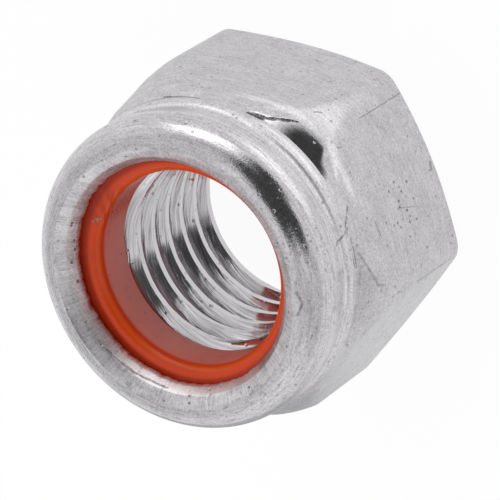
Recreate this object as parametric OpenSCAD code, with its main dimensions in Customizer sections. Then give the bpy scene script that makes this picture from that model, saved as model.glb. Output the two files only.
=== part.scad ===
// Hexagon lock nut with an elastic locking ring held in its rolled collar.
// The nut stands on its bearing face, thread axis upright, with the ring's end on top.
// Millimetres. The origin is the centre of the bearing face.

/* [Thread] */
// Nominal diameter of the thread
thread_d = 16; // [14:0.5:17]
// Pitch of the thread
pitch = 2; // [1:0.25:2.5]
// How much wider than the thread the countersink in the bearing face is
mouth_over = 0.8; // [0.2:0.1:2]
// How much narrower than the thread the countersink at the ring's seat is
thread_top_under = 0.7; // [0.2:0.1:0.9]
// Angle between the walls of both countersinks
countersink_angle = 90; // [70:1:110]

/* [Hexagon] */
// Width across the flats
across_flats = 24; // [23.8:0.1:28]
// How far below the ring's seat the shoulder leaves the collar's root, or above it if negative
shoulder_drop = -0.2; // [-0.3:0.05:1]
// Slope of the shoulder round the collar's root, from the bearing face
shoulder_angle = 55; // [20:1:60]
// Radius that rounds the shoulder off at the corners
shoulder_r = 3; // [1.2:0.1:3.4]
// Angle by which the upright corners lean inwards towards the shoulder
corner_lean = 10; // [0:1:13]
// How far below the shoulder's start the corners begin to lean
lean_drop = 5.2; // [3:0.1:6]
// Radius that rounds the six upright corners
corner_r = 1.5; // [0.5:0.1:3]
// Width of the ledge between the bearing ring's edge and the middle of a flat
bearing_inset = 0.5; // [0.2:0.1:1.5]
// Slope of the chamfer round the bearing face, from the face
bearing_angle = 30; // [20:1:35]

/* [Collar] */
// Overall height of the nut, to the top of the rolled rim
nut_h = 18.9; // [15:0.1:22]
// Thickness of the collar's wall round the ring, at the root
collar_wall = 2.14; // [1.9:0.02:2.2]
// Height of the upright band at the collar's root, above the shoulder
root_band = 0.45; // [0.2:0.05:0.7]
// Depth of the crease under the rolled rim, from the root
crease_depth = 0.44; // [0.2:0.02:0.6]
// Height of the crease above the root band
crease_rise = 0.7; // [0.6:0.1:1.3]
// How far the rolled rim at its widest lies inside the root
rim_inset = 0.11; // [0:0.01:0.19]
// Radius of the roll
roll_r = 2.4; // [2:0.1:2.8]
// Thickness of the roll over the ring
roof_t = 2; // [1.6:0.1:2.4]
// How much wider than the thread the opening inside the rolled lip is
lip_over = 0.54; // [0.3:0.02:0.9]
// Thickness of the lip at its rounded edge
lip_t = 1.1; // [0.8:0.05:1.2]
// Slope of the lip's dished face, from the bearing face
dish_angle = 56; // [53:1:62]

/* [Locking ring] */
// Thickness of the ring along the axis; the metal below it down to the bearing face is threaded
ring_t = 3.65; // [3.1:0.05:4.5]
// Width of the ring, from its bore to its outside
ring_w = 2.4; // [2.1:0.1:2.5]
// How much narrower than the thread the ring's bore is
ring_grip = 1.5; // [1:0.1:1.9]
// Radius that rounds the ring's inner rim, the one that shows
ring_edge_r = 0.9; // [0.3:0.05:1.1]
// Chamfer at the ring's outer rim, under the roll
ring_chamfer = 0.5; // [0.2:0.05:0.7]
// Gap between the ring and the metal round it and over it
ring_gap = 0.05; // [0.02:0.01:0.1]

/* [Hidden] */
$fn = 96;
body_colour = "#c9c9cc";
ring_colour = "#d8431c";
// Length by which a cutting shape runs past what it cuts
overrun = 1;

// Bore: the thread's tips lie 5/8 of the sharp thread's height inside its nominal radius
thread_r = thread_d / 2;
tip_r = thread_r - 5 / 8 * pitch * cos(30);
mouth_r = thread_r + mouth_over / 2;
thread_top_r = thread_r - thread_top_under / 2;
half_countersink = countersink_angle / 2;
mouth_depth = (mouth_r - tip_r) / tan(half_countersink);
thread_top_depth = (thread_top_r - tip_r) / tan(half_countersink);

// Locking ring, the space for it, and the collar's root round it
ring_bore_r = thread_r - ring_grip / 2;
ring_r = ring_bore_r + ring_w;
groove_r = ring_r + ring_gap;
root_r = groove_r + collar_wall;
roof_h = nut_h - roof_t;
ring_top = roof_h - ring_gap;
seat_h = ring_top - ring_t;
shoulder_h = seat_h - shoulder_drop;

// Hexagon: flats, the centre of a corner's rounding, and a corner's outermost point
flat_r = across_flats / 2;
corner_x = (flat_r - corner_r) / cos(30);
corner_reach = corner_x + corner_r;
flat_half = (flat_r - corner_r) * tan(30);

// A straight flank runs this far inside the arc that it joins, so that the two cross cleanly
arc_sink = 0.002;

// The turned shape that trims the hexagon clears the corners by a little
trim_clear = 0.04;
trim_r = corner_reach + trim_clear;
bearing_r = flat_r - bearing_inset;
bearing_rise = (trim_r - bearing_r) * tan(bearing_angle);
lean_h = shoulder_h - lean_drop;
shoulder_tip_h = shoulder_h + root_r * tan(shoulder_angle);

// The arc between them touches the shoulder's slope and the lean: directions square to both,
// how far from the origin lines through the arc's centre lie along them, and the centre itself
shoulder_out = [sin(shoulder_angle), cos(shoulder_angle)];
lean_out = [cos(corner_lean), sin(corner_lean)];
shoulder_reach = shoulder_out * [root_r, shoulder_h] - shoulder_r;
lean_reach = lean_out * [trim_r, lean_h] - shoulder_r;
bend = [
    (lean_reach * shoulder_out[1] - shoulder_reach * lean_out[1]) / cos(shoulder_angle + corner_lean),
    (shoulder_reach * lean_out[0] - lean_reach * shoulder_out[0]) / cos(shoulder_angle + corner_lean),
];

// Collar: root band, crease and the centre of the roll's arc
root_h = shoulder_h + root_band;
crease = [root_r - crease_depth, root_h + crease_rise];
rim_r = root_r - rim_inset;
roll = [rim_r - roll_r, nut_h - roll_r];

// Lip: its edge is an arc that dips below the roof by half of the ring's gap
lip_edge_r = lip_t / 2;
lip = [thread_r + lip_over / 2 + lip_edge_r, roof_h - ring_gap / 2 + lip_edge_r];
dish_start = lip + (lip_edge_r - arc_sink) * [-sin(dish_angle), cos(dish_angle)];
dish_end_h = nut_h + overrun;
dish_end_r = dish_start[0] + (dish_end_h - dish_start[1]) / tan(dish_angle);

// The chamfer under the roof ends at the lip at the latest
chamfer = min(ring_chamfer, groove_r - lip[0]);

// Point where a line from p touches the circle of radius r round c, on the side away from the axis
function touch(p, c, r) =
    let (d = c - p, reach = norm(d), turn = atan2(d[1], d[0]) - asin(r / reach))
        p + sqrt(reach * reach - r * r) * [cos(turn), sin(turn)];

// Outline of the hexagon bar with its rounded corners
module hexagon_outline() {
    polygon([for (k = [0:5]) for (side = [-1, 1])
        [cos(60 * k) * flat_r - sin(60 * k) * side * flat_half,
         sin(60 * k) * flat_r + cos(60 * k) * side * flat_half]]);
    for (k = [0:5])
        rotate(60 * k + 30)
            translate([corner_x, 0])
                circle(r = corner_r);
}

// Half section of the turned shape that trims the bar: bearing chamfer below, then the lean
// of the corners, the bend and the shoulder
module trim_section() {
    polygon([
        [0, 0],
        [bearing_r, 0],
        [trim_r, bearing_rise],
        [trim_r, lean_h],
        bend + (shoulder_r - arc_sink) * lean_out,
        bend,
        bend + (shoulder_r - arc_sink) * shoulder_out,
        [0, shoulder_tip_h],
    ]);
    translate(bend)
        circle(r = shoulder_r);
}

// Half section of the collar as rolled over, solid inside
module collar_section() {
    collar_foot = shoulder_h - 2 * overrun;
    polygon([
        [0, collar_foot],
        [root_r, collar_foot],
        [root_r, root_h],
        crease,
        touch(crease, roll, roll_r - arc_sink),
        roll,
        [roll[0], nut_h],
        [0, nut_h],
    ]);
    translate(roll)
        circle(r = roll_r);
}

// Half section of the space inside: bore with its countersinks, ring groove and dished opening
module bore_section() {
    difference() {
        polygon([
            [0, -overrun],
            [mouth_r + overrun * tan(half_countersink), -overrun],
            [tip_r, mouth_depth],
            [tip_r, seat_h - thread_top_depth],
            [thread_top_r, seat_h],
            [groove_r, seat_h],
            [groove_r, roof_h - chamfer],
            [groove_r - chamfer, roof_h],
            [lip[0], roof_h],
            lip,
            dish_start,
            [dish_end_r, dish_end_h],
            [0, dish_end_h],
        ]);
        translate(lip)
            circle(r = lip_edge_r);
    }
}

// One-piece metal body: hexagon, shoulder, collar and rolled lip
module nut_body() {
    color(body_colour)
        difference() {
            union() {
                intersection() {
                    linear_extrude(height = root_h)
                        hexagon_outline();
                    rotate_extrude()
                        trim_section();
                }
                rotate_extrude()
                    collar_section();
            }
            rotate_extrude()
                bore_section();
        }
}

// Elastic ring that grips the bolt: its inner upper rim is rounded, its outer one chamfered
module locking_ring() {
    color(ring_colour)
        rotate_extrude() {
            polygon([
                [ring_bore_r, seat_h],
                [ring_r, seat_h],
                [ring_r, ring_top - chamfer],
                [ring_r - chamfer, ring_top],
                [ring_bore_r + ring_edge_r, ring_top],
                [ring_bore_r, ring_top - ring_edge_r],
            ]);
            translate([ring_bore_r + ring_edge_r, ring_top - ring_edge_r])
                circle(r = ring_edge_r);
        }
}

nut_body();
locking_ring();
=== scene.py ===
import math
from functools import reduce

import bmesh
import bpy
import numpy as np
from mathutils import Matrix, Vector


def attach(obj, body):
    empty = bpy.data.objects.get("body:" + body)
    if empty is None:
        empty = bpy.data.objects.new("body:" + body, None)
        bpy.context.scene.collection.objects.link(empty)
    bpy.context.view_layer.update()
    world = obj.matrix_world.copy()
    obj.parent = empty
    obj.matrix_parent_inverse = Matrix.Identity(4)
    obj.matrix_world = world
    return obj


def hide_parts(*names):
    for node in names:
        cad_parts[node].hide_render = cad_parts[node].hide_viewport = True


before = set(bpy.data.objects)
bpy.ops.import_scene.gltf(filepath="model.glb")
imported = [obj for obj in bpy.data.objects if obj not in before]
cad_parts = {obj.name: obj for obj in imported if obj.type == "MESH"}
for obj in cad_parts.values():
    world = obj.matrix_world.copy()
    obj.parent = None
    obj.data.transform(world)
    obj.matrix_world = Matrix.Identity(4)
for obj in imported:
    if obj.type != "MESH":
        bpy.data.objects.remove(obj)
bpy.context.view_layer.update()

MM = 0.001
TURN = 2 * math.pi

# Hexagon and shoulder, in millimetres as in the part's source
FLAT_R = 12.0
CORNER_R = 1.5
CORNER_X = (FLAT_R - CORNER_R) / math.cos(math.radians(30))
FLAT_HALF = (FLAT_R - CORNER_R) * math.tan(math.radians(30))
TRIM_CLEAR = 0.04
TRIM_R = CORNER_X + CORNER_R + TRIM_CLEAR
BEARING_R = 11.5
BEARING_SLOPE = math.tan(math.radians(30))
LEAN_H = 8.2
CORNER_LEAN = math.tan(math.radians(10))
SHOULDER_H = 13.4
SHOULDER_SLOPE = math.tan(math.radians(55))

# Collar, rolled lip and the space for the ring, as in the source: a pair is a radius and a height
ROOT_R = 11.84
ROOT_BAND_TOP = 13.85
ROLL_R = 2.4
DISH_ANGLE = 56
LIP = (8.82, 17.425)
LIP_R = 0.55
ROOF_H = 16.9
GROOVE_R = 9.7
CHAMFER = 0.5
SEAT_H = 13.2

# Locking ring, as in the source
RING_BORE_R = 7.25
RING_R = 9.65
RING_TOP = 16.85
RING_EDGE_R = 0.9

# Thread M16 x 2, right-handed, with the radii of its countersinks, as in the source
PITCH = 2.0
THREAD_ROOT_R = 8.0
THREAD_TIP_R = THREAD_ROOT_R - 5 / 8 * PITCH * math.cos(math.radians(30))
MOUTH_R = 8.4
THREAD_TOP_R = 7.65

# Thread's turns, which only this script has: the height of a crest over the X axis and the radius
# that its flanks gain with height
CREST_H = 11.52
FLANK_SLOPE = math.sqrt(3)

# The thread's wear: how strong it is, the radius and the share of the height at which its noise is
# read, and the distances from the bearing face and from the seat between which it sets in
WEAR = 0.05
WEAR_NOISE_R = 4
WEAR_NOISE_RISE = 0.8
WEAR_FROM_FACE = (0.6, 1.6)
WEAR_FROM_SEAT = (0.5, 1.5)

# Finer form of the root, the roll, its flattened rim and the dish, with the fillets between them.
# The roll's and the lip's arcs end at these angles in degrees
ROOT_START = SHOULDER_H + 0.1
ROOT_TOP = (11.68, 14.38)
CREASE = (11.5, 14.62)
ROOT_FILLETS = [0.3, 0.3, 0.6]
ROLL = (9.33, 16.54)
ROLL_END = 74
RIM_CORNER = (9.72, 18.92)
RIM_FILLET = 0.5
DISH_CORNER = (8.8, 18.38)
DISH_FILLET = 0.6
LIP_END = 268

# Numbers of points on the arcs of the roll, the lip and the ring's edge, of steps round a fillet
# of the rim and of any other line, and of rows up the ring's bore
ROLL_POINTS = 30
LIP_POINTS = 15
RING_EDGE_POINTS = 14
RIM_STEPS = 6
FILLET_STEPS = 4
RING_BORE_ROWS = 11

# A fillet takes at most this share of the shorter line beside it
FILLET_SHARE = 0.48

# The lip's opening is wider towards one side, at an angle in degrees, and that fades out over the
# rim. Its edge has small jags, which grow and shrink over runs of some section planes
LIP_SPREAD = 0.27
LIP_SPREAD_AT = 15
SPREAD_FADE = 0.9
LIP_JAG = 0.18
JAG_SEED = 7
JAG_RUN = 12

# Widths over which the hexagon's surfaces blend into each other, and its rounded bearing edge
LEAN_SOFT = 0.05
BEND_SOFT = 0.8
BEARING_SOFT = 0.2
BEARING_EDGE = 0.16
BEARING_FILLET = 0.3

# A flat's middle merges with the root over this height. Where the hexagon stands out from the
# root by more than the first step, the shoulder's bend begins, and from the second on it is whole
MERGE_RUN = 1.8
MERGE_STEPS = (0.2, 0.45)

# Rows of points up the outside: shares of the bearing chamfer, heights over it, evenly spaced ones
# up to PLAIN_END under the shoulder's knee, depths under the knee, and shares of the shoulder
CHAMFER_SHARES = (0.4, 0.65, 0.85, 1.0)
OVER_CHAMFER = (0.07, 0.15, 0.3)
PLAIN_ROWS = 10
PLAIN_END = 1.0
UNDER_KNEE = (0.8, 0.62, 0.46, 0.32, 0.2, 0.1, 0.0)
SHOULDER_SHARES = (0.07, 0.15, 0.24, 0.34, 0.46, 0.6, 0.78, 1.0)

# Section planes round the axis: CROWDING draws them together at the six corners
COLUMNS = 360
CROWDING = 0.6

# Points closer than this many metres are one, and edges of more than this many degrees stay sharp
WELD = 2e-7
SHARP_ANGLE = 30


class Wire:
    """One socket of a node tree. Arithmetic on wires adds Math nodes to their tree."""

    def __init__(self, tree, socket=None):
        self.tree = tree
        self.socket = socket

    def node(self, kind, settings=None, inputs=None, output=0):
        """Adds a node: settings first, then the values or links of its sockets."""
        made = self.tree.nodes.new(kind)
        for name, value in (settings or {}).items():
            setattr(made, name, value)
        for name, value in (inputs or {}).items():
            if isinstance(value, Wire):
                self.tree.links.new(value.socket, made.inputs[name])
            else:
                made.inputs[name].default_value = value
        return Wire(self.tree, made.outputs[output] if len(made.outputs) else None)

    def pick(self, output):
        """Another output of the node that this wire comes from."""
        return Wire(self.tree, self.socket.node.outputs[output])

    def math(self, operation, *values):
        """Result of a Math node."""
        return self.node("ShaderNodeMath", {"operation": operation}, dict(enumerate(values)))

    def vector(self, operation, *values, output=0):
        """Result of a Vector Math node. Output 1 is its number."""
        return self.node("ShaderNodeVectorMath", {"operation": operation}, dict(enumerate(values)), output)

    def __add__(self, other):
        return self.math("ADD", self, other)

    def __radd__(self, other):
        return self.math("ADD", other, self)

    def __sub__(self, other):
        return self.math("SUBTRACT", self, other)

    def __rsub__(self, other):
        return self.math("SUBTRACT", other, self)

    def __mul__(self, other):
        return self.math("MULTIPLY", self, other)

    def __rmul__(self, other):
        return self.math("MULTIPLY", other, self)

    def __truediv__(self, other):
        return self.math("DIVIDE", self, other)

    def __pow__(self, other):
        return self.math("POWER", self, other)

    def __abs__(self):
        return self.math("ABSOLUTE", self)

    def least(self, other):
        return self.math("MINIMUM", self, other)

    def most(self, other):
        return self.math("MAXIMUM", self, other)

    def sine(self):
        return self.math("SINE", self)

    def cosine(self):
        return self.math("COSINE", self)

    def whole(self):
        """The nearest whole number."""
        return self.math("ROUND", self)

    def ramp(self, low, high):
        """Rises smoothly from 0 to 1 while the wire goes from low to high."""
        return self.node(
            "ShaderNodeMapRange",
            {"interpolation_type": "SMOOTHSTEP"},
            {"Value": self, "From Min": low, "From Max": high},
        )

    def distance(self, point):
        """Distance of this vector from a point."""
        return self.vector("DISTANCE", self, point, output=1)

    def dot(self, other):
        """Dot product of this vector and another."""
        return self.vector("DOT_PRODUCT", self, other, output=1)


def added(name, data):
    """A new object in the scene."""
    made = bpy.data.objects.new(name, data)
    bpy.context.scene.collection.objects.link(made)
    return made


def crowded(turn):
    """Angle of a section plane from its even share of the turn, closer together at the corners."""
    return turn + CROWDING / 6 * np.sin(6 * turn)


ANGLES = crowded(np.arange(COLUMNS) * TURN / COLUMNS)


def smooth(value, low, high):
    """Rises smoothly from 0 to 1 while the value goes from low to high."""
    t = np.clip((value - low) / (high - low), 0, 1)
    return t * t * (3 - 2 * t)


def blend_least(a, b, width):
    """The lesser of two, with the change from one to the other rounded over width."""
    step = np.maximum(width - np.abs(a - b), 0)
    return np.minimum(a, b) - step**2 / (4 * width)


def arc(centre, radius, start, end, steps):
    """Points on an arc, from a start to an end angle in degrees."""
    turn = np.radians(np.linspace(start, end, steps))
    return [(centre[0] + radius * math.cos(t), centre[1] + radius * math.sin(t)) for t in turn]


def rounded(points, radii, steps=FILLET_STEPS):
    """A line of points with an arc of its own radius at each corner between the two ends."""
    line = [points[0]]
    for before, here, after, radius in zip(points, points[1:], points[2:], radii):
        p = np.array(here)
        u = np.array(before) - p
        v = np.array(after) - p
        lengths = np.linalg.norm(u), np.linalg.norm(v)
        u, v = u / lengths[0], v / lengths[1]
        half = math.acos(np.clip(u @ v, -1, 1)) / 2
        reach = min(radius / math.tan(half), FILLET_SHARE * min(lengths))
        centre = p + (u + v) / np.linalg.norm(u + v) * reach / math.cos(half)
        a, b = p + u * reach - centre, p + v * reach - centre
        sweep = math.pi - 2 * half
        for i in range(steps + 1):
            t = i / steps
            turned = (math.sin((1 - t) * sweep) * a + math.sin(t * sweep) * b) / math.sin(sweep)
            line.append(tuple(centre + turned))
    line.append(points[-1])
    return line


def tangent_angle(point, centre, radius):
    """Angle round the centre at which a line from the point touches the circle, outer side."""
    dx, dz = centre[0] - point[0], centre[1] - point[1]
    reach = math.hypot(dx, dz)
    return math.degrees(math.atan2(dz, dx) - math.asin(radius / reach)) - 90


def hexagon_radius(angle):
    """Distance from the axis to the hexagon with its rounded corners."""
    a = np.abs((angle + math.pi / 6) % (math.pi / 3) - math.pi / 6)
    flat = FLAT_R / np.cos(a)
    off = math.pi / 6 - a
    reach = CORNER_X * np.sin(off)
    corner = CORNER_X * np.cos(off) + np.sqrt(np.maximum(CORNER_R**2 - reach**2, 0))
    return np.where(np.tan(a) * FLAT_R < FLAT_HALF, flat, corner)


def hexagon_wall(wide, height):
    """Distance from the axis to the outside: hexagon, leaning corners and shoulder, blended."""
    lean = TRIM_R - np.maximum(height - LEAN_H, 0) * CORNER_LEAN
    upright = blend_least(wide, lean, LEAN_SOFT)
    step = wide - ROOT_R
    shoulder = ROOT_R + (SHOULDER_H - height) / SHOULDER_SLOPE
    bent = blend_least(upright, shoulder, np.minimum(BEND_SOFT, step))
    merged = ROOT_R + step * (1 - smooth(height, SHOULDER_H - MERGE_RUN, SHOULDER_H))
    outside = merged + (bent - merged) * smooth(step, *MERGE_STEPS)
    return blend_least(outside, BEARING_R + height / BEARING_SLOPE, BEARING_SOFT)


def hexagon_rows():
    """Rows of points up the outside, from the bearing face's edge to the collar's root."""
    wide = hexagon_radius(ANGLES)
    foot = (wide - BEARING_R) * BEARING_SLOPE

    # The shoulder's knee is where it meets a flat, or at the corners where it meets their lean
    meeting_run = ROOT_R - TRIM_R + SHOULDER_H / SHOULDER_SLOPE - LEAN_H * CORNER_LEAN
    meeting_h = meeting_run / (1 / SHOULDER_SLOPE - CORNER_LEAN)
    knee = np.maximum(SHOULDER_H - (wide - ROOT_R) * SHOULDER_SLOPE, meeting_h)
    plain_start = foot + OVER_CHAMFER[-1]
    plain_run = knee - PLAIN_END - plain_start
    heights = [foot * share for share in CHAMFER_SHARES]
    heights += [foot + over for over in OVER_CHAMFER]
    heights += [plain_start + plain_run * (i + 1) / PLAIN_ROWS for i in range(PLAIN_ROWS)]
    heights += [knee - under for under in UNDER_KNEE]
    heights += [knee + (SHOULDER_H - knee) * share for share in SHOULDER_SHARES]
    return [(hexagon_wall(wide, height), height) for height in heights]


def lip_jags():
    """Small bites out of the lip's edge, one value in millimetres for each section plane."""
    dice = np.random.default_rng(JAG_SEED)
    runs = COLUMNS // JAG_RUN
    strength = np.tile(dice.random(runs // 2), 3)[: runs + 1]
    coarse = np.interp(np.arange(COLUMNS), np.arange(runs + 1) * JAG_RUN, strength)
    bites = dice.random(COLUMNS) ** 3 * (0.35 + 0.65 * coarse)
    return LIP_JAG * (bites + np.roll(bites, 1) * 0.5)


def collar_line():
    """Rows up the turned collar, over the roll, down the dish and round the lip to the seat."""
    roll = arc(ROLL, ROLL_R, tangent_angle(CREASE, ROLL, ROLL_R), ROLL_END, ROLL_POINTS)
    lip = arc(LIP, LIP_R, 90 + DISH_ANGLE, LIP_END, LIP_POINTS)
    rim_line = [roll[-1], RIM_CORNER, DISH_CORNER, lip[0]]
    rim = rounded(rim_line, [RIM_FILLET, DISH_FILLET], RIM_STEPS)[1:-1]
    root_line = [(ROOT_R, ROOT_START), (ROOT_R, ROOT_BAND_TOP), ROOT_TOP, CREASE, roll[0]]
    root = rounded(root_line, ROOT_FILLETS)[:-1]

    jags = lip_jags()
    share = np.sin(np.linspace(0, math.pi, len(lip)))
    spread = LIP_SPREAD * np.maximum(np.cos(ANGLES - math.radians(LIP_SPREAD_AT)), 0)
    fades = [smooth(RIM_CORNER[0] - radius, 0, SPREAD_FADE) for radius, height in rim]
    rim = [(radius + spread * fade, height) for (radius, height), fade in zip(rim, fades)]
    lip = [(radius + jags * part + spread, height) for (radius, height), part in zip(lip, share)]
    inside = [(GROOVE_R - CHAMFER, ROOF_H), (GROOVE_R, ROOF_H - CHAMFER), (GROOVE_R, SEAT_H)]
    return root + roll + rim + lip + inside


def seat_edge():
    """Radius of the tapped wall's top edge at each section plane, as its node tree makes it."""
    turns = (SEAT_H - CREST_H) / PITCH - ANGLES / TURN
    off = np.abs(turns - np.round(turns)) * PITCH
    cut = np.clip(THREAD_TIP_R + (off - PITCH / 8) * FLANK_SLOPE, THREAD_TIP_R, THREAD_ROOT_R)
    return np.maximum(cut, THREAD_TOP_R)


def turned_points(rows):
    """Points of rows of (radius, height), each a number or one number for each section plane."""
    points = np.zeros((len(rows), COLUMNS, 3))
    for i, (radius, height) in enumerate(rows):
        points[i, :, 0] = radius * np.cos(ANGLES)
        points[i, :, 1] = radius * np.sin(ANGLES)
        points[i, :, 2] = height
    return list(points.reshape(-1, 3))


def turned_faces(rows, closed):
    """Faces between neighbouring rows, and between the last and the first if closed."""
    faces = []
    for i in range(rows if closed else rows - 1):
        low, high = i * COLUMNS, (i + 1) % rows * COLUMNS
        for j in range(COLUMNS):
            k = (j + 1) % COLUMNS
            faces.append((low + j, low + k, high + k, high + j))
    return faces


def joined_mesh(name, points, faces):
    """One closed mesh from points in millimetres, doubles merged and normals turned outwards."""
    mesh = bpy.data.meshes.new(name)
    mesh.from_pydata([tuple(p) for p in points], [], faces)
    work = bmesh.new()
    work.from_mesh(mesh)
    bmesh.ops.scale(work, vec=(MM, MM, MM), verts=work.verts)
    bmesh.ops.remove_doubles(work, verts=work.verts, dist=WELD)
    bmesh.ops.recalc_face_normals(work, faces=work.faces)
    work.to_mesh(mesh)
    work.free()
    mesh.shade_smooth()
    mesh.set_sharp_from_angle(angle=math.radians(SHARP_ANGLE))
    return mesh


def turned_vector(radius, angle, height):
    """Vector at a radius, an angle round the axis and a height."""
    parts = {0: radius * angle.cosine(), 1: radius * angle.sine(), 2: height}
    return angle.node("ShaderNodeCombineXYZ", inputs=parts)


def thread_tree():
    """Geometry nodes for the tapped wall: a grid whose rows follow the helix, with countersinks."""
    tree = bpy.data.node_groups.new("tapped_wall", "GeometryNodeTree")
    sizes = {
        "Columns": COLUMNS,
        "Rows a turn": 16,
        "Turns": 8,
        "Pitch": PITCH,
        "Tip radius": THREAD_TIP_R,
        "Root radius": THREAD_ROOT_R,
        "Crest height": CREST_H,
        "Mouth radius": MOUTH_R,
        "Top radius": THREAD_TOP_R,
        "Seat height": SEAT_H,
        "Wear": WEAR,
    }
    tree.interface.new_socket("Geometry", in_out="OUTPUT", socket_type="NodeSocketGeometry")
    for name, value in sizes.items():
        kind = "NodeSocketInt" if isinstance(value, int) else "NodeSocketFloat"
        tree.interface.new_socket(name, in_out="INPUT", socket_type=kind).default_value = value
    given = Wire(tree).node("NodeGroupInput")
    size = {name: given.pick(name) for name in sizes}
    pitch, tip, seat = size["Pitch"], size["Tip radius"], size["Seat height"]

    # The grid is 1 wide and 1 long round the origin: X becomes the angle and Y the height
    rows = size["Rows a turn"] * size["Turns"]
    counts = {"Vertices X": size["Columns"] + 1, "Vertices Y": rows + 1}
    grid = given.node("GeometryNodeMeshGrid", inputs={"Size X": 1.0, "Size Y": 1.0, **counts})
    across = given.node("ShaderNodeSeparateXYZ", inputs={0: given.node("GeometryNodeInputPosition")})
    even = (across + 0.5) * TURN
    angle = even + CROWDING / 6 * (6 * even).sine()
    rise = angle / TURN * pitch
    first = size["Crest height"] - (size["Turns"] - 1) * pitch
    raised = first + (across.pick("Y") + 0.5) * rows / size["Rows a turn"] * pitch + rise
    height = raised.most(0.0).least(seat)

    # The wear follows noise on a smaller cylinder and fades out towards both countersinks
    place = turned_vector(WEAR_NOISE_R, angle, WEAR_NOISE_RISE * height)
    noise = given.node("ShaderNodeTexNoise", inputs={"Vector": place, "Scale": 1.0, "Detail": 3.0})
    inner = height.ramp(*WEAR_FROM_FACE) * height.ramp(*[SEAT_H - below for below in WEAR_FROM_SEAT])
    worn = (noise - 0.5) * size["Wear"] * inner

    # The radius grows from a crest's tip down its flanks to the root, or is a wider countersink's
    turns = (height - size["Crest height"] - rise) / pitch
    off = abs(turns - turns.whole() + worn) * pitch
    flank = tip + (off - pitch / 8) * FLANK_SLOPE
    cut = (flank.most(tip) + abs(worn)).least(size["Root radius"])
    radius = cut.most(size["Mouth radius"] - height).most(size["Top radius"] - (seat - height))

    wall = {"Geometry": grid, "Position": turned_vector(radius, angle, height)}
    moved = given.node("GeometryNodeSetPosition", inputs=wall)
    joined = given.node("GeometryNodeMergeByDistance", inputs={"Geometry": moved, "Distance": WELD / MM})
    real = given.node("GeometryNodeRealizeInstances", inputs={"Geometry": joined})
    coat = {"Geometry": real, "Material": bpy.data.materials["plated_steel"]}
    coated = given.node("GeometryNodeSetMaterial", inputs=coat)
    given.node("NodeGroupOutput", inputs={0: coated})
    return tree, sizes


def thread_wall():
    """Points and faces of the tapped wall, in millimetres."""
    tree, sizes = thread_tree()
    host = added("tapped_wall", bpy.data.meshes.new("tapped_wall"))
    nodes = host.modifiers.new("tapped_wall", "NODES")
    nodes.node_group = tree
    for item in tree.interface.items_tree:
        if item.in_out == "INPUT":
            nodes[item.identifier] = sizes[item.name]
    bpy.context.view_layer.update()
    evaluated = host.evaluated_get(bpy.context.evaluated_depsgraph_get())
    mesh = bpy.data.meshes.new_from_object(evaluated)
    points = [tuple(v.co) for v in mesh.vertices]
    faces = [tuple(f.vertices) for f in mesh.polygons]
    bpy.data.objects.remove(host)
    bpy.data.meshes.remove(mesh)
    return points, faces


def nut_body_mesh():
    """Bearing edge, hexagon, collar and lip down to the seat, closed by the tapped wall."""
    edge_end = (BEARING_R + BEARING_EDGE, BEARING_EDGE * BEARING_SLOPE)
    edge = rounded([(MOUTH_R, 0), (BEARING_R, 0), edge_end], [BEARING_FILLET])[:-1]
    rows = edge + hexagon_rows() + collar_line() + [(seat_edge(), SEAT_H)]
    points = turned_points(rows)
    faces = turned_faces(len(rows), closed=False)
    wall_points, wall_faces = thread_wall()
    faces += [tuple(v + len(points) for v in face) for face in wall_faces]
    return joined_mesh("nut_body_look", points + wall_points, faces)


def locking_ring_mesh():
    """Ring with a rounded inner rim and a chamfered outer one, closed round its section."""
    edge = (RING_BORE_R + RING_EDGE_R, RING_TOP - RING_EDGE_R)
    heights = np.linspace(SEAT_H, edge[1], RING_BORE_ROWS + 1)[:-1]
    bore = [(RING_BORE_R, height) for height in heights]
    rim = arc(edge, RING_EDGE_R, 180, 90, RING_EDGE_POINTS)
    outside = [(RING_R - CHAMFER, RING_TOP), (RING_R, RING_TOP - CHAMFER), (RING_R, SEAT_H)]
    rows = bore + rim + outside
    return joined_mesh("locking_ring_look", turned_points(rows), turned_faces(len(rows), closed=True))


# How far the edges of marks and pits wander, in millimetres
STIR = 0.16


def toward(azimuth, elevation=0):
    """Unit vector from compass angle round the axis and angle over the floor, in degrees."""
    a, e = math.radians(azimuth), math.radians(elevation)
    return (math.cos(e) * math.cos(a), math.cos(e) * math.sin(a), math.sin(e))


def cleared(block):
    """Start of an empty node tree for a material or a world."""
    block.use_nodes = True
    block.node_tree.nodes.clear()
    return Wire(block.node_tree)


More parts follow.
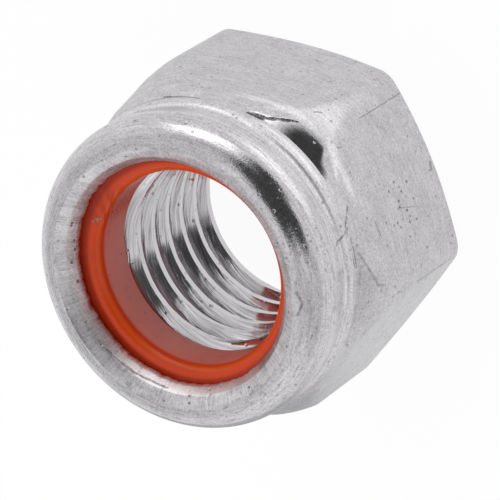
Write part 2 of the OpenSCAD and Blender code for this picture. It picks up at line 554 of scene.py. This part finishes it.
class Spot:
    """Where a point of the nut lies, in millimetres, and the patterns that are fixed to it."""

    def __init__(self, start):
        metres = start.node("ShaderNodeTexCoord").pick("Object")
        scale = {0: metres, "Scale": 1 / MM}
        self.place = start.node("ShaderNodeVectorMath", {"operation": "SCALE"}, scale)
        self.x = start.node("ShaderNodeSeparateXYZ", inputs={0: self.place})
        self.y = self.x.pick("Y")
        self.z = self.x.pick("Z")
        self.radius = (self.x * self.x + self.y * self.y) ** 0.5
        self.rise = self.z - self.radius
        noise = {"Vector": self.place, "Scale": 3.0, "Detail": 2.0}
        stir = start.node("ShaderNodeTexNoise", inputs=noise).pick("Color")
        self.stirred = start.vector("MULTIPLY_ADD", stir, (STIR, STIR, STIR), self.place)

    def along(self, azimuth):
        """Distance from the axis in a compass direction."""
        x, y, _ = toward(azimuth)
        return self.x * x + self.y * y

    def cloud(self, scale, detail, place=None):
        """Noise from 0 to 1 with features of about 1/scale millimetres."""
        noise = {"Vector": place or self.place, "Scale": scale, "Detail": detail, "Roughness": 0.6}
        return self.place.node("ShaderNodeTexNoise", inputs=noise)

    def streaks(self, along, across, seed, detail):
        """Noise whose features run round the axis where along is small, and up it where it is large."""
        x = self.x / self.radius * along + seed
        y = self.y / self.radius * along
        turned = self.x.node("ShaderNodeCombineXYZ", inputs={0: x, 1: y, 2: self.rise * across})
        return self.cloud(1.0, detail, turned)

    def dots(self, cells, share, size, fade):
        """Small round spots: share of the cells has one, size is its radius in cells."""
        off = self.place.node("ShaderNodeTexVoronoi", inputs={"Vector": self.stirred, "Scale": cells})
        chance = off.node("ShaderNodeSeparateColor", inputs={0: off.pick("Color")})
        return off.ramp(size, size * 0.4) * (chance - (1 - share)).ramp(0.0, fade)

    def near(self, centre, inner, outer):
        """1 within inner millimetres of a point, falling to 0 at outer."""
        return self.place.distance(centre).ramp(outer, inner)

    def stroke(self, start, end, width):
        """1 on a straight mark from start to end, falling to 0 at width from it."""
        run = Vector(end) - Vector(start)
        start = Vector(start) + Vector((STIR / 2,) * 3)
        rel = self.stirred.vector("SUBTRACT", self.stirred, start)
        share = rel.dot(run / run.length_squared).most(0.0).least(1.0)
        nearest = rel.node("ShaderNodeVectorMath", {"operation": "SCALE"}, {0: run, "Scale": share})
        return rel.distance(nearest).ramp(width, width * 0.35)


# Marks on the metal, and strokes of painted shade along a corner, each from a point to a point with
# its half width and its depth of tone
MARKS = {
    "groove over the root": ((3.87, -11.19, 13.55), (2.9, -11.6, 13.35), 0.25, 1.0),
    "groove running out": ((2.9, -11.6, 13.35), (0.81, -12.71, 12.2), 0.15, 0.95),
    "specks by the groove": ((3.95, -10.85, 14.35), (3.3, -11.1, 14.25), 0.14, 0.8),
    "line round the shoulder": ((9.52, -7.14, 13.36), (8.48, -8.27, 13.55), 0.12, 0.75),
    "line running out": ((8.48, -8.27, 13.55), (7.34, -9.29, 13.7), 0.1, 0.75),
    "long scratch": ((-1.38, -13.06, 7.25), (-1.42, -13.04, 0.9), 0.06, 0.5),
    "scratch by the pits": ((-7.41, -9.58, 6.82), (-7.98, -9.25, 4.71), 0.06, 0.3),
    "short scratch": ((-7.23, -9.68, 10.29), (-8.22, -9.11, 10.29), 0.06, 0.5),
    "shorter scratch": ((-6.79, -9.93, 11.09), (-7.38, -9.60, 10.88), 0.06, 0.5),
    "speck by the corner": ((-2.2, -12.6, 11.2), (-2.3, -12.55, 10.7), 0.1, 0.4),
    "nick in the root": ((-7.01, -9.18, 15.0), (-6.63, -9.81, 13.53), 0.16, 0.5),
    "scar above the nick": ((-5.53, -10.55, 12.64), (-6.52, -9.89, 13.73), 0.1, 0.55),
    "ridge by the nick": ((-6.52, -9.89, 13.73), (-8.7, -8.03, 13.72), 0.09, 0.6),
    "mark by the bearing face": ((-6.2, -10.28, 0.75), (-6.6, -10.05, 0.95), 0.2, 0.5),
    "tick by the corner": ((0.82, -13.17, 10.83), (0.37, -13.29, 10.31), 0.07, 0.5),
    "line along the root": ((-7.23, -9.37, 13.5), (-8.81, -7.91, 13.47), 0.1, 0.6),
    # Painted shade: the next three strokes darken the rounding of a corner and the edge of its shoulder
    "painted shade along the shoulder's edge": ((-8.27, -8.68, 13.18), (-10.59, -7.12, 12.06), 0.15, 0.35),
    "painted shade down the corner": ((-10.59, -7.12, 12.06), (-11.9, -6.61, 7.11), 0.17, 0.3),
    "painted shade lower down the corner": ((-11.9, -6.61, 7.11), (-11.93, -6.52, 2.34), 0.15, 0.25),
    "streak over the lip": ((0.9, 8.72, 18.25), (-1.63, 8.6, 18.2), 0.13, 0.6),
    "streak running on": ((-1.63, 8.6, 18.2), (-4.3, 7.55, 18.1), 0.1, 0.5),
    "dent in the rim": ((-7.55, -6.65, 18.79), (-8.27, -6.19, 18.68), 0.15, 0.55),
    "dent running on": ((-8.27, -6.19, 18.68), (-8.53, -5.26, 18.8), 0.15, 0.55),
}

# Two places where the metal has more pits, with the distances at which they are full and end
WORN = ((-7.3, -9.7, 5.8), 1.4, 3.2)
BRUISE = ((-11.6, -6.3, 10.4), 0.7, 1.5)

# Pits: cells a millimetre, the share of them with a pit, its radius in cells and how the share fades
PIT_CELLS = 2.6
PIT_SHARE = 0.11
PIT_SIZE = 0.4
PIT_FADE = 0.04

# Clouds of noise on the metal: how fine they are, and their detail
GRAIN = (4.5, 3.0)
FINE_GRAIN = (9.0, 2.0)
MOTTLE = (0.6, 3.0)
BREAKS = (2.6, 2.0)

# Streaks on the metal: how fine they are along and across, their seed and their detail
BRUSHED = (7.0, 4.0, 0.0, 2.0)
ROLLED = (4.0, 5.0, 3.0, 3.0)
COMBED = (85.0, 1.3, 7.0, 2.0)
DRAWN = (1.7, 16.0, 5.0, 2.0)
SCUFFED = (14.0, 3.5, 17.0, 4.0)
# The last streaks carry painted shade on one side of the roll
SHADE_STREAKS = (9.0, 3.2, 11.0, 3.0)

# Parts of the metal's surface, by heights or radii between which each one rises from 0 to 1
COLLAR_FOOT = (13.6, 14.2)
COLLAR_INSIDE = (8.15, 8.3)
DISH_FOOT = (16.8, 17.0)
DISH_OUTSIDE = (10.1, 9.3)
BORE_OUTSIDE = (8.2, 8.1)
BORE_TOP = (16.0, 14.0)
FLANK_INSIDE = (THREAD_TIP_R + 0.01, THREAD_TIP_R + 0.08)
SHOULDER_FOOT = (11.6, 12.4)
BEND_FOOT = (11.2, 11.6)
BEND_TOP = (12.2, 11.9)
CREASE_FOOT = (13.9, 14.2)
CREASE_TOP = (15.2, 14.8)
CREASE_INSIDE = (11.1, 11.3)
LIP_OUTSIDE = (8.85, 8.75)
GAP_SHADE_OUTSIDE = (8.47, 8.33)
GAP_SHADE_FOOT = (16.8, 17.2)

# Directions in degrees: of a flat, of the roll's side with streaked painted shade and of the lip's side
# with a painted highlight. The shoulder's gloss and the painted highlight on its bend show near the
# flat's direction, between these cosines from it
FLAT_SIDE = 270
SHOULDER_FACING = (0.88, 0.95)
BEND_FACING = (0.86, 0.93)
ROLL_SHADE_SIDE = 105
LIP_HIGHLIGHT_SIDE = 130

# Metal: brightness with its tint of red, green and blue, and how rough each part is
STEEL_TONE = 0.65
STEEL_TINT = (1.0, 0.977, 1.01)
FLATS_ROUGH = 0.33
ROLL_ROUGH = 0.14
DISH_ROUGH = 0.44
BORE_ROUGH = 0.11
LEAST_ROUGH = 0.08


class SteelSpot(Spot):
    """Parts of the metal's surface, each a wire from 0 to 1, and the patterns on them."""

    def __init__(self, start):
        super().__init__(start)
        radius, z = self.radius, self.z
        facing = self.along(FLAT_SIDE) / radius
        self.collar = z.ramp(*COLLAR_FOOT) * radius.ramp(*COLLAR_INSIDE)
        self.dished = self.collar * z.ramp(*DISH_FOOT) * radius.ramp(*DISH_OUTSIDE)
        self.roll = self.collar * (1 - self.dished)
        self.bore = radius.ramp(*BORE_OUTSIDE) * z.ramp(*BORE_TOP)
        self.flanks = self.bore * radius.ramp(*FLANK_INSIDE)
        self.flats = (1 - self.collar) * (1 - self.bore)
        self.shoulder = self.flats * z.ramp(*SHOULDER_FOOT) * facing.ramp(*SHOULDER_FACING)
        # The bend is the band on the side facing FLAT_SIDE where a painted highlight goes
        self.bend = self.flats * z.ramp(*BEND_FOOT) * z.ramp(*BEND_TOP) * facing.ramp(*BEND_FACING)
        self.crease = z.ramp(*CREASE_FOOT) * z.ramp(*CREASE_TOP) * radius.ramp(*CREASE_INSIDE)
        self.worn = self.near(*WORN)
        self.bruise = self.near(*BRUISE)

        self.grain = self.cloud(*GRAIN) - 0.5
        self.fine = self.cloud(*FINE_GRAIN) - 0.5
        self.mottle = self.cloud(*MOTTLE) - 0.5
        self.brushed = self.streaks(*BRUSHED) - 0.5
        self.rolled = self.streaks(*ROLLED) - 0.5
        self.combed = self.streaks(*COMBED) - 0.5
        self.drawn = self.streaks(*DRAWN) - 0.5
        self.scuffs = self.streaks(*SCUFFED).ramp(0.57, 0.65) * self.collar
        self.marks = self.all_marks()
        self.pits = self.all_pits()

    def all_marks(self):
        """Grooves, scratches, dents and painted shade along a corner, paler where a pattern breaks them
        up.
        """
        strokes = [self.stroke(start, end, width) * tone for start, end, width, tone in MARKS.values()]
        broken = self.cloud(*BREAKS).ramp(0.36, 0.5)
        return reduce(Wire.most, strokes) * (0.55 + 0.45 * broken)

    def all_pits(self):
        """Pits, more of them where the metal is worn or bruised, deeper where it is worn or dished."""
        share = PIT_SHARE + 0.3 * self.worn + 0.5 * self.bruise
        depth = 0.55 + 0.45 * (self.worn + self.dished).least(1.0)
        return self.dots(PIT_CELLS, share, PIT_SIZE, PIT_FADE) * depth


def steel_colour(on):
    """Colour of the metal: each term is a weight, a pattern and the part that has it."""
    tone = STEEL_TONE + (0.4 * on.grain + 0.42 * on.fine) * (1 - 0.8 * on.bore)
    tone = tone + 0.26 * on.mottle * on.flats + 0.28 * on.brushed * on.flats
    tone = tone + 0.5 * on.rolled * on.roll + 0.65 * on.combed * on.dished
    tone = tone + 0.65 * on.rolled * on.dished + 1.25 * on.drawn * on.flanks

    lip = on.dished * on.radius.ramp(*LIP_OUTSIDE)
    # Painted highlight: the lip is made lighter on one side, as if a bright reflection fell there
    lip_highlight = lip * (on.along(LIP_HIGHLIGHT_SIDE) - 0.68 * on.radius).ramp(0.0, 1.0)
    tone = tone + 0.06 * on.bore + 0.3 * lip_highlight + 0.1 * on.dished

    # Painted shade in the gap between the lip and the ring, broken up a little by grain, and left out
    # where the lip has its painted highlight
    gap_shade = on.radius.ramp(*GAP_SHADE_OUTSIDE) * on.z.ramp(*GAP_SHADE_FOOT)
    gap_shade = gap_shade * (0.75 + 0.5 * on.grain) * (1 - lip_highlight)
    # Painted highlight: the shoulder's bend is made lighter
    # Painted shade: the thread's flanks are made a little darker
    tone = tone * (1 - 0.04 * on.flanks) * (1 - 0.4 * gap_shade) * (1 + 0.2 * on.crease + 0.35 * on.bend)

    # Painted shade: streaks that darken the roll on one side only
    streaked_shade = on.streaks(*SHADE_STREAKS).ramp(0.58, 0.68) * on.roll
    roll_shade = streaked_shade * (on.along(ROLL_SHADE_SIDE) / on.radius).ramp(0.2, 0.8) * 0.4
    tone = tone * (1 - 0.55 * on.pits) * (1 - 0.8 * on.marks) * (1 - roll_shade) * (1 - 0.22 * on.scuffs)
    red, green, blue = STEEL_TINT
    return tone.node("ShaderNodeCombineColor", inputs={0: tone * red, 1: tone * green, 2: tone * blue})


def steel_roughness(on):
    """How rough each part of the metal is, and what changes it there."""
    rough = FLATS_ROUGH * on.flats + ROLL_ROUGH * on.roll + DISH_ROUGH * on.dished + BORE_ROUGH * on.bore
    rough = rough - 0.24 * on.shoulder + 0.15 * on.bend + 0.3 * on.crease + 0.25 * on.marks
    rough = rough + 0.12 * (on.grain + on.mottle) + 0.2 * on.pits + 0.12 * on.scuffs
    return rough.most(LEAST_ROUGH)


def steel_relief(on):
    """Height of the fine relief on the metal, in millimetres."""
    height = 0.002 * on.grain * on.flats + 0.004 * on.brushed * on.flats
    height = height + 0.006 * (on.grain + on.fine) * on.roll
    height = height + 0.012 * on.combed * on.dished + 0.012 * on.fine * on.dished
    height = height + 0.02 * on.drawn * on.bore + 0.03 * on.grain * on.bruise
    return height - 0.03 * on.pits - 0.05 * on.marks


def bump(height):
    """Normal of a surface with a relief whose height is in millimetres."""
    return height.node("ShaderNodeBump", inputs={"Strength": 1.0, "Distance": MM, "Height": height})


def plated_steel():
    """Bright metal: brushed flats with pits and scratches, a glossy roll and a combed dish."""
    made = bpy.data.materials.new("plated_steel")
    on = SteelSpot(cleared(made))
    surface = {
        "Base Color": steel_colour(on),
        "Metallic": 1.0,
        "Roughness": steel_roughness(on),
        "Normal": bump(steel_relief(on)),
    }
    shader = on.x.node("ShaderNodeBsdfPrincipled", inputs=surface)
    shader.node("ShaderNodeOutputMaterial", inputs={"Surface": shader})
    return made


# Colours of the nylon: plain, painted light on its bore, in clouds, under the ripples, a painted highlight
# along its inner edge, painted shade at its outer rim, in specks, and the colour of the bare nick
NYLON_RED = (0.92, 0.08, 0.008, 1)
NYLON_BORE_LIGHT = (1.0, 0.2, 0.13, 1)
NYLON_CLOUD = (0.42, 0.03, 0.008, 1)
NYLON_RIPPLE = (0.3, 0.02, 0.006, 1)
NYLON_EDGE_HIGHLIGHT = (1.0, 0.16, 0.02, 1)
NYLON_RIM_SHADE = (0.42, 0.02, 0.006, 1)
NYLON_SPECK = (0.12, 0.015, 0.01, 1)
NICK_COLOUR = (0.6, 0.5, 0.45, 1)

# Parts of the ring: the painted light on the bore, on one side in degrees, the painted highlight along
# the inner edge, the painted shade at the outer rim, the nick from a point to a point with its half
# width, and the ripples round a point
BORE_LIGHT_SIDE = 88
BORE_LIGHT_OUTSIDE = (7.5, 7.28)
BORE_LIGHT_TOP = (16.2, 15.8)
HIGHLIGHT_INSIDE = (7.3, 7.42)
HIGHLIGHT_OUTSIDE = (7.62, 7.5)
RIM_SHADE_INSIDE = (7.9, 8.3)
NICK = ((7.33, 2.12, 16.72), (7.56, 2.4, 16.8), 0.24)
RIPPLED = ((7.4, 0.6, 15.6), 1.2, 2.6)


def blend(share, first, second):
    """Colour between two colours."""
    return share.node("ShaderNodeMix", {"data_type": "RGBA"}, {0: share, 6: first, 7: second}, output=2)


def red_nylon():
    """Glossy orange-red nylon: moulding ripples, a nick on the rim, painted light on one side of the bore,
    a painted highlight along the inner edge and painted shade at the outer rim.
    """
    made = bpy.data.materials.new("red_nylon")
    on = Spot(cleared(made))
    # Painted light: the bore is paler on one side, where a coat and more roughness also go
    bore_light_side = (on.along(BORE_LIGHT_SIDE) / on.radius).ramp(0.2, 0.42)
    bore_light = on.radius.ramp(*BORE_LIGHT_OUTSIDE) * on.z.ramp(*BORE_LIGHT_TOP) * bore_light_side
    # Painted highlight: a brighter orange line along the inner edge
    edge_highlight = on.radius.ramp(*HIGHLIGHT_INSIDE) * on.radius.ramp(*HIGHLIGHT_OUTSIDE)
    # Painted shade: the outer rim under the metal lip is darker
    rim_shade = on.radius.ramp(*RIM_SHADE_INSIDE)
    cloud = on.cloud(1.2, 3.0)
    grain = on.cloud(6.0, 2.0) - 0.5
    nick = on.stroke(*NICK) * on.cloud(7.0, 1.0).ramp(0.4, 0.55)
    specks = on.dots(1.5, 0.12, 0.16, 0.02)
    rippled = on.near(*RIPPLED)
    ripples = (on.z * 15 + on.y * 5 + cloud * 5).sine() * rippled

    colour = blend(bore_light, NYLON_RED, NYLON_BORE_LIGHT)
    colour = blend(cloud.ramp(0.45, 0.85) * 0.2, colour, NYLON_CLOUD)
    colour = blend(ripples * 0.15 + rippled * 0.25, colour, NYLON_RIPPLE)
    colour = blend(edge_highlight * 0.5, colour, NYLON_EDGE_HIGHLIGHT)
    colour = blend(rim_shade * 0.7, colour, NYLON_RIM_SHADE)
    colour = blend(specks * 0.6, colour, NYLON_SPECK)
    colour = blend(nick * 0.8, colour, NICK_COLOUR)
    surface = {
        "Base Color": colour,
        "Roughness": 0.24 + 0.2 * bore_light + 0.1 * grain + 0.15 * (cloud - 0.5),
        "Specular IOR Level": 0.35,
        "Coat Weight": 0.5 * bore_light,
        "Coat Roughness": 0.3,
        "Coat IOR": 2.0,
        "Subsurface Weight": 0.15,
        "Subsurface Radius": (1.0, 0.25, 0.1),
        "Subsurface Scale": 1.2 * MM,
        "Normal": bump(0.006 * grain + 0.02 * ripples - 0.02 * specks - 0.08 * nick),
    }
    shader = on.x.node("ShaderNodeBsdfPrincipled", inputs=surface)
    shader.node("ShaderNodeOutputMaterial", inputs={"Surface": shader})
    return made


# Camera as fitted to the photograph: lens and sensor in millimetres, its turn about the nut's
# axis, its tilt and its roll in radians, a point on the axis, and where that lies from the camera,
# to the right, down and ahead, both in units of FLAT_R
LENS = 288.0
SENSOR = 36.0
CAMERA_TURN = 0.2737
CAMERA_TILT = 2.5109
CAMERA_ROLL = 4.1248
AIM = (0, 0, 0.7)
AIM_SEEN = (-0.0289, -0.104, 24.0046)


def set_camera():
    """Camera at the photograph's viewing angle; the nut stands upright, so the camera is rolled."""
    lens = bpy.data.cameras.new("camera")
    lens.sensor_width = SENSOR
    lens.lens = LENS
    lens.clip_start = 0.01
    lens.clip_end = 10.0
    made = added("camera", lens)
    about_z = Matrix.Rotation(CAMERA_TURN, 3, "Z")
    about_x = Matrix.Rotation(CAMERA_TILT, 3, "X")
    about_view = Matrix.Rotation(CAMERA_ROLL, 3, "Z")
    seen = about_view @ about_x @ about_z
    place = (Vector(AIM) - seen.transposed() @ Vector(AIM_SEEN)) * FLAT_R * MM
    right, down, ahead = seen
    made.matrix_world = Matrix.Translation(place) @ Matrix((right, -down, -ahead)).transposed().to_4x4()
    bpy.context.scene.camera = made


# Light tent: its level, then patches that add to it or take from it, each with its strength,
# azimuth and elevation and the angles at which it is full and ends, in degrees
TENT = 0.9
TENT_PATCHES = [
    (-0.25, 60, 40, 20, 60),
    (-0.28, 192, 6, 14, 44),
    (-0.25, 177, 53, 10, 30),
    (-0.25, 322, 42, 12, 30),
    (1.1, 318, 8, 8, 26),
]

# Dark room that shows through the tent's opening by the camera, and how dark it is
ROOM_PATCHES = [(267, 43, 21, 28), (254, 62, 12, 22), (243, 31, 12, 24), (272, 14, 12, 21)]
ROOM_DARK = 0.93


def studio_light():
    """Soft white tent with a brighter panel at one side and the dark of the room by the camera."""
    world = bpy.data.worlds.new("studio")
    bpy.context.scene.world = world
    start = cleared(world)
    ray = start.node("ShaderNodeTexCoord")

    def patch(azimuth, elevation, inner, outer):
        """1 within inner degrees of a direction, falling to 0 at outer degrees."""
        near = ray.dot(toward(azimuth, elevation))
        return near.ramp(math.cos(math.radians(outer)), math.cos(math.radians(inner)))

    tent = TENT
    for strength, *place in TENT_PATCHES:
        tent = tent + strength * patch(*place)
    room = reduce(Wire.most, [patch(*place) for place in ROOM_PATCHES])
    tent = tent * (1 - ROOM_DARK * room)
    camera = start.node("ShaderNodeLightPath").pick("Is Camera Ray")
    level = tent + (1 - tent) * camera
    light = start.node("ShaderNodeBackground", inputs={"Color": level, "Strength": 1.0})
    light.node("ShaderNodeOutputWorld", inputs={"Surface": light})


# Paper: its colour, how much of it glows by itself, how bright the camera and the metal see it,
# and the brighter pool and the darker shade that the metal sees, with places in metres
PAPER = (0.85, 0.85, 0.85, 1)
GLOW_SHARE = 0.88
CAMERA_GLOW = 1.06
MIRRORED_GLOW = 0.9
POOL = (0.002, -0.040, 0)
POOL_EDGE = (0.026, 0.009)
POOL_GLOW = 0.6
SHADE = (-0.016, 0.036, 0)
SHADE_EDGE = (0.031, 0.016)
SHADE_DARK = 0.42


def white_paper():
    """Paper that is white to the camera, keeps a faint shadow and lights the metal from below."""
    made = bpy.data.materials.new("paper")
    start = cleared(made)
    place = start.node("ShaderNodeTexCoord").pick("Object")
    pool = POOL_GLOW * place.distance(POOL).ramp(*POOL_EDGE)
    shade = SHADE_DARK * place.distance(SHADE).ramp(*SHADE_EDGE)
    path = start.node("ShaderNodeLightPath")
    camera = path.pick("Is Camera Ray")
    mirrored = path.pick("Is Glossy Ray").most(path.pick("Is Transmission Ray")) * (1 - camera)
    level = camera * CAMERA_GLOW + mirrored * ((MIRRORED_GLOW + pool) * (1 - shade))
    glow = start.node("ShaderNodeEmission", inputs={"Color": level, "Strength": 1.0})
    diffuse = start.node("ShaderNodeBsdfDiffuse", inputs={"Color": PAPER})
    share = camera.most(mirrored) * GLOW_SHARE
    mixed = start.node("ShaderNodeMixShader", inputs={0: share, 1: diffuse, 2: glow})
    start.node("ShaderNodeOutputMaterial", inputs={"Surface": mixed})
    return made


def paper_floor():
    """Sheet of paper, two metres wide, under the nut."""
    mesh = bpy.data.meshes.new("floor")
    mesh.from_pydata([(-1, -1, 0), (1, -1, 0), (1, 1, 0), (-1, 1, 0)], [], [(0, 1, 2, 3)])
    mesh.materials.append(white_paper())
    floor = added("floor", mesh)


set_camera()
steel = plated_steel()
nylon = red_nylon()

body = added("nut_body_look", nut_body_mesh())
body.data.materials.append(steel)
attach(body, "root")
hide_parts("nut_body")

ring = added("locking_ring_look", locking_ring_mesh())
ring.data.materials.append(nylon)
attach(ring, "root")
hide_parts("locking_ring")

studio_light()
paper_floor()

bpy.context.scene.view_settings.view_transform = "Standard"
